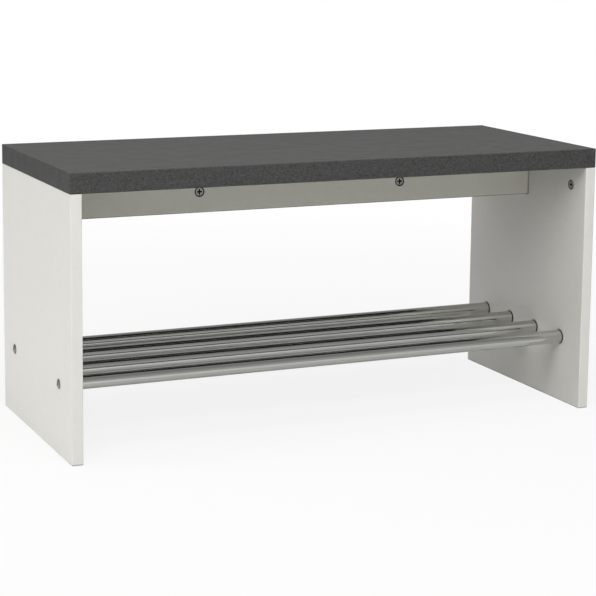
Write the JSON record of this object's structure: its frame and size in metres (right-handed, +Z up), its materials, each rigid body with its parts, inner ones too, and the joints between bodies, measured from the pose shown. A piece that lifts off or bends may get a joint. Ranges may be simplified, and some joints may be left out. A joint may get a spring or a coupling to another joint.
{
  "type": "entryway bench",
  "caption": "Entryway bench with a thick flat seat on two side panels, an apron rail under the seat and a low rack of round tubes for shoes.",
  "frame": {"origin": "on the floor, under the middle of the seat", "axes": "+X along the bench towards its right end as seen from the front, -Y towards the front, +Z up"},
  "size_m": [0.8044, 0.335, 0.39],
  "materials": {
    "seat_laminate": "matte anthracite melamine on particle board",
    "seat_edging": "matte anthracite edge band",
    "white_board": "satin white melamine on particle board",
    "white_edging": "satin white edge band",
    "tube_chrome": "polished chrome plating on steel",
    "black_plastic": "black moulded plastic",
    "bolt_nickel": "nickel-plated steel",
    "cam_zinc": "die-cast zinc, nickel-plated",
    "zinc_steel": "zinc-plated steel",
    "beech": "fluted beech, unfinished"
  },
  "bodies": {
    "bench": {"seat_board": "seat_laminate", "seat_front_edge_band": "seat_edging", "seat_back_edge_band": "seat_edging", "seat_left_edge_band": "seat_edging", "seat_right_edge_band": "seat_edging", "apron_rail": "white_board", "apron_rail_edge_band": "white_edging", "rail_cam_bolts": "zinc_steel", "left_panel": "white_board", "left_panel_front_edge_band": "white_edging", "left_panel_back_edge_band": "white_edging", "left_panel_bottom_edge_band": "white_edging", "left_cam_bolts": "zinc_steel", "left_seat_dowels": "beech", "left_rail_dowels": "beech", "left_tube_bolts": "bolt_nickel", "left_tube_nuts": "zinc_steel", "tube_front_left_plug": "black_plastic", "tube_middle_front_left_plug": "black_plastic", "tube_middle_rear_left_plug": "black_plastic", "tube_rear_left_plug": "black_plastic", "right_panel": "white_board", "right_panel_front_edge_band": "white_edging", "right_panel_back_edge_band": "white_edging", "right_panel_bottom_edge_band": "white_edging", "right_cam_bolts": "zinc_steel", "right_seat_dowels": "beech", "right_rail_dowels": "beech", "right_tube_bolts": "bolt_nickel", "right_tube_nuts": "zinc_steel", "tube_front_right_plug": "black_plastic", "tube_middle_front_right_plug": "black_plastic", "tube_middle_rear_right_plug": "black_plastic", "tube_rear_right_plug": "black_plastic", "tube_front": "tube_chrome", "tube_middle_front": "tube_chrome", "tube_middle_rear": "tube_chrome", "tube_rear": "tube_chrome"},
    "left_front_cam": {"left_front_cam_lock": "cam_zinc"},
    "left_rear_cam": {"left_rear_cam_lock": "cam_zinc"},
    "right_front_cam": {"right_front_cam_lock": "cam_zinc"},
    "right_rear_cam": {"right_rear_cam_lock": "cam_zinc"},
    "rail_left_cam": {"rail_left_cam_lock": "cam_zinc"},
    "rail_right_cam": {"rail_right_cam_lock": "cam_zinc"}
  },
  "joints": [
    {"name": "left_front_cam_turn", "type": "hinge", "parent": "bench", "child": "left_front_cam", "pos_m": [-0.384, -0.1275, 0.332], "axis": [1, 0, 0], "range_deg": [0, 180]},
    {"name": "left_rear_cam_turn", "type": "hinge", "parent": "bench", "child": "left_rear_cam", "pos_m": [-0.384, 0.1275, 0.332], "axis": [1, 0, 0], "range_deg": [0, 180]},
    {"name": "right_front_cam_turn", "type": "hinge", "parent": "bench", "child": "right_front_cam", "pos_m": [0.384, -0.1275, 0.332], "axis": [-1, 0, 0], "range_deg": [0, 180]},
    {"name": "right_rear_cam_turn", "type": "hinge", "parent": "bench", "child": "right_rear_cam", "pos_m": [0.384, 0.1275, 0.332], "axis": [-1, 0, 0], "range_deg": [0, 180]},
    {"name": "rail_left_cam_turn", "type": "hinge", "parent": "bench", "child": "rail_left_cam", "pos_m": [-0.16, -0.008, 0.332], "axis": [0, -1, 0], "range_deg": [0, 180]},
    {"name": "rail_right_cam_turn", "type": "hinge", "parent": "bench", "child": "rail_right_cam", "pos_m": [0.16, -0.008, 0.332], "axis": [0, -1, 0], "range_deg": [0, 180]}
  ]
}
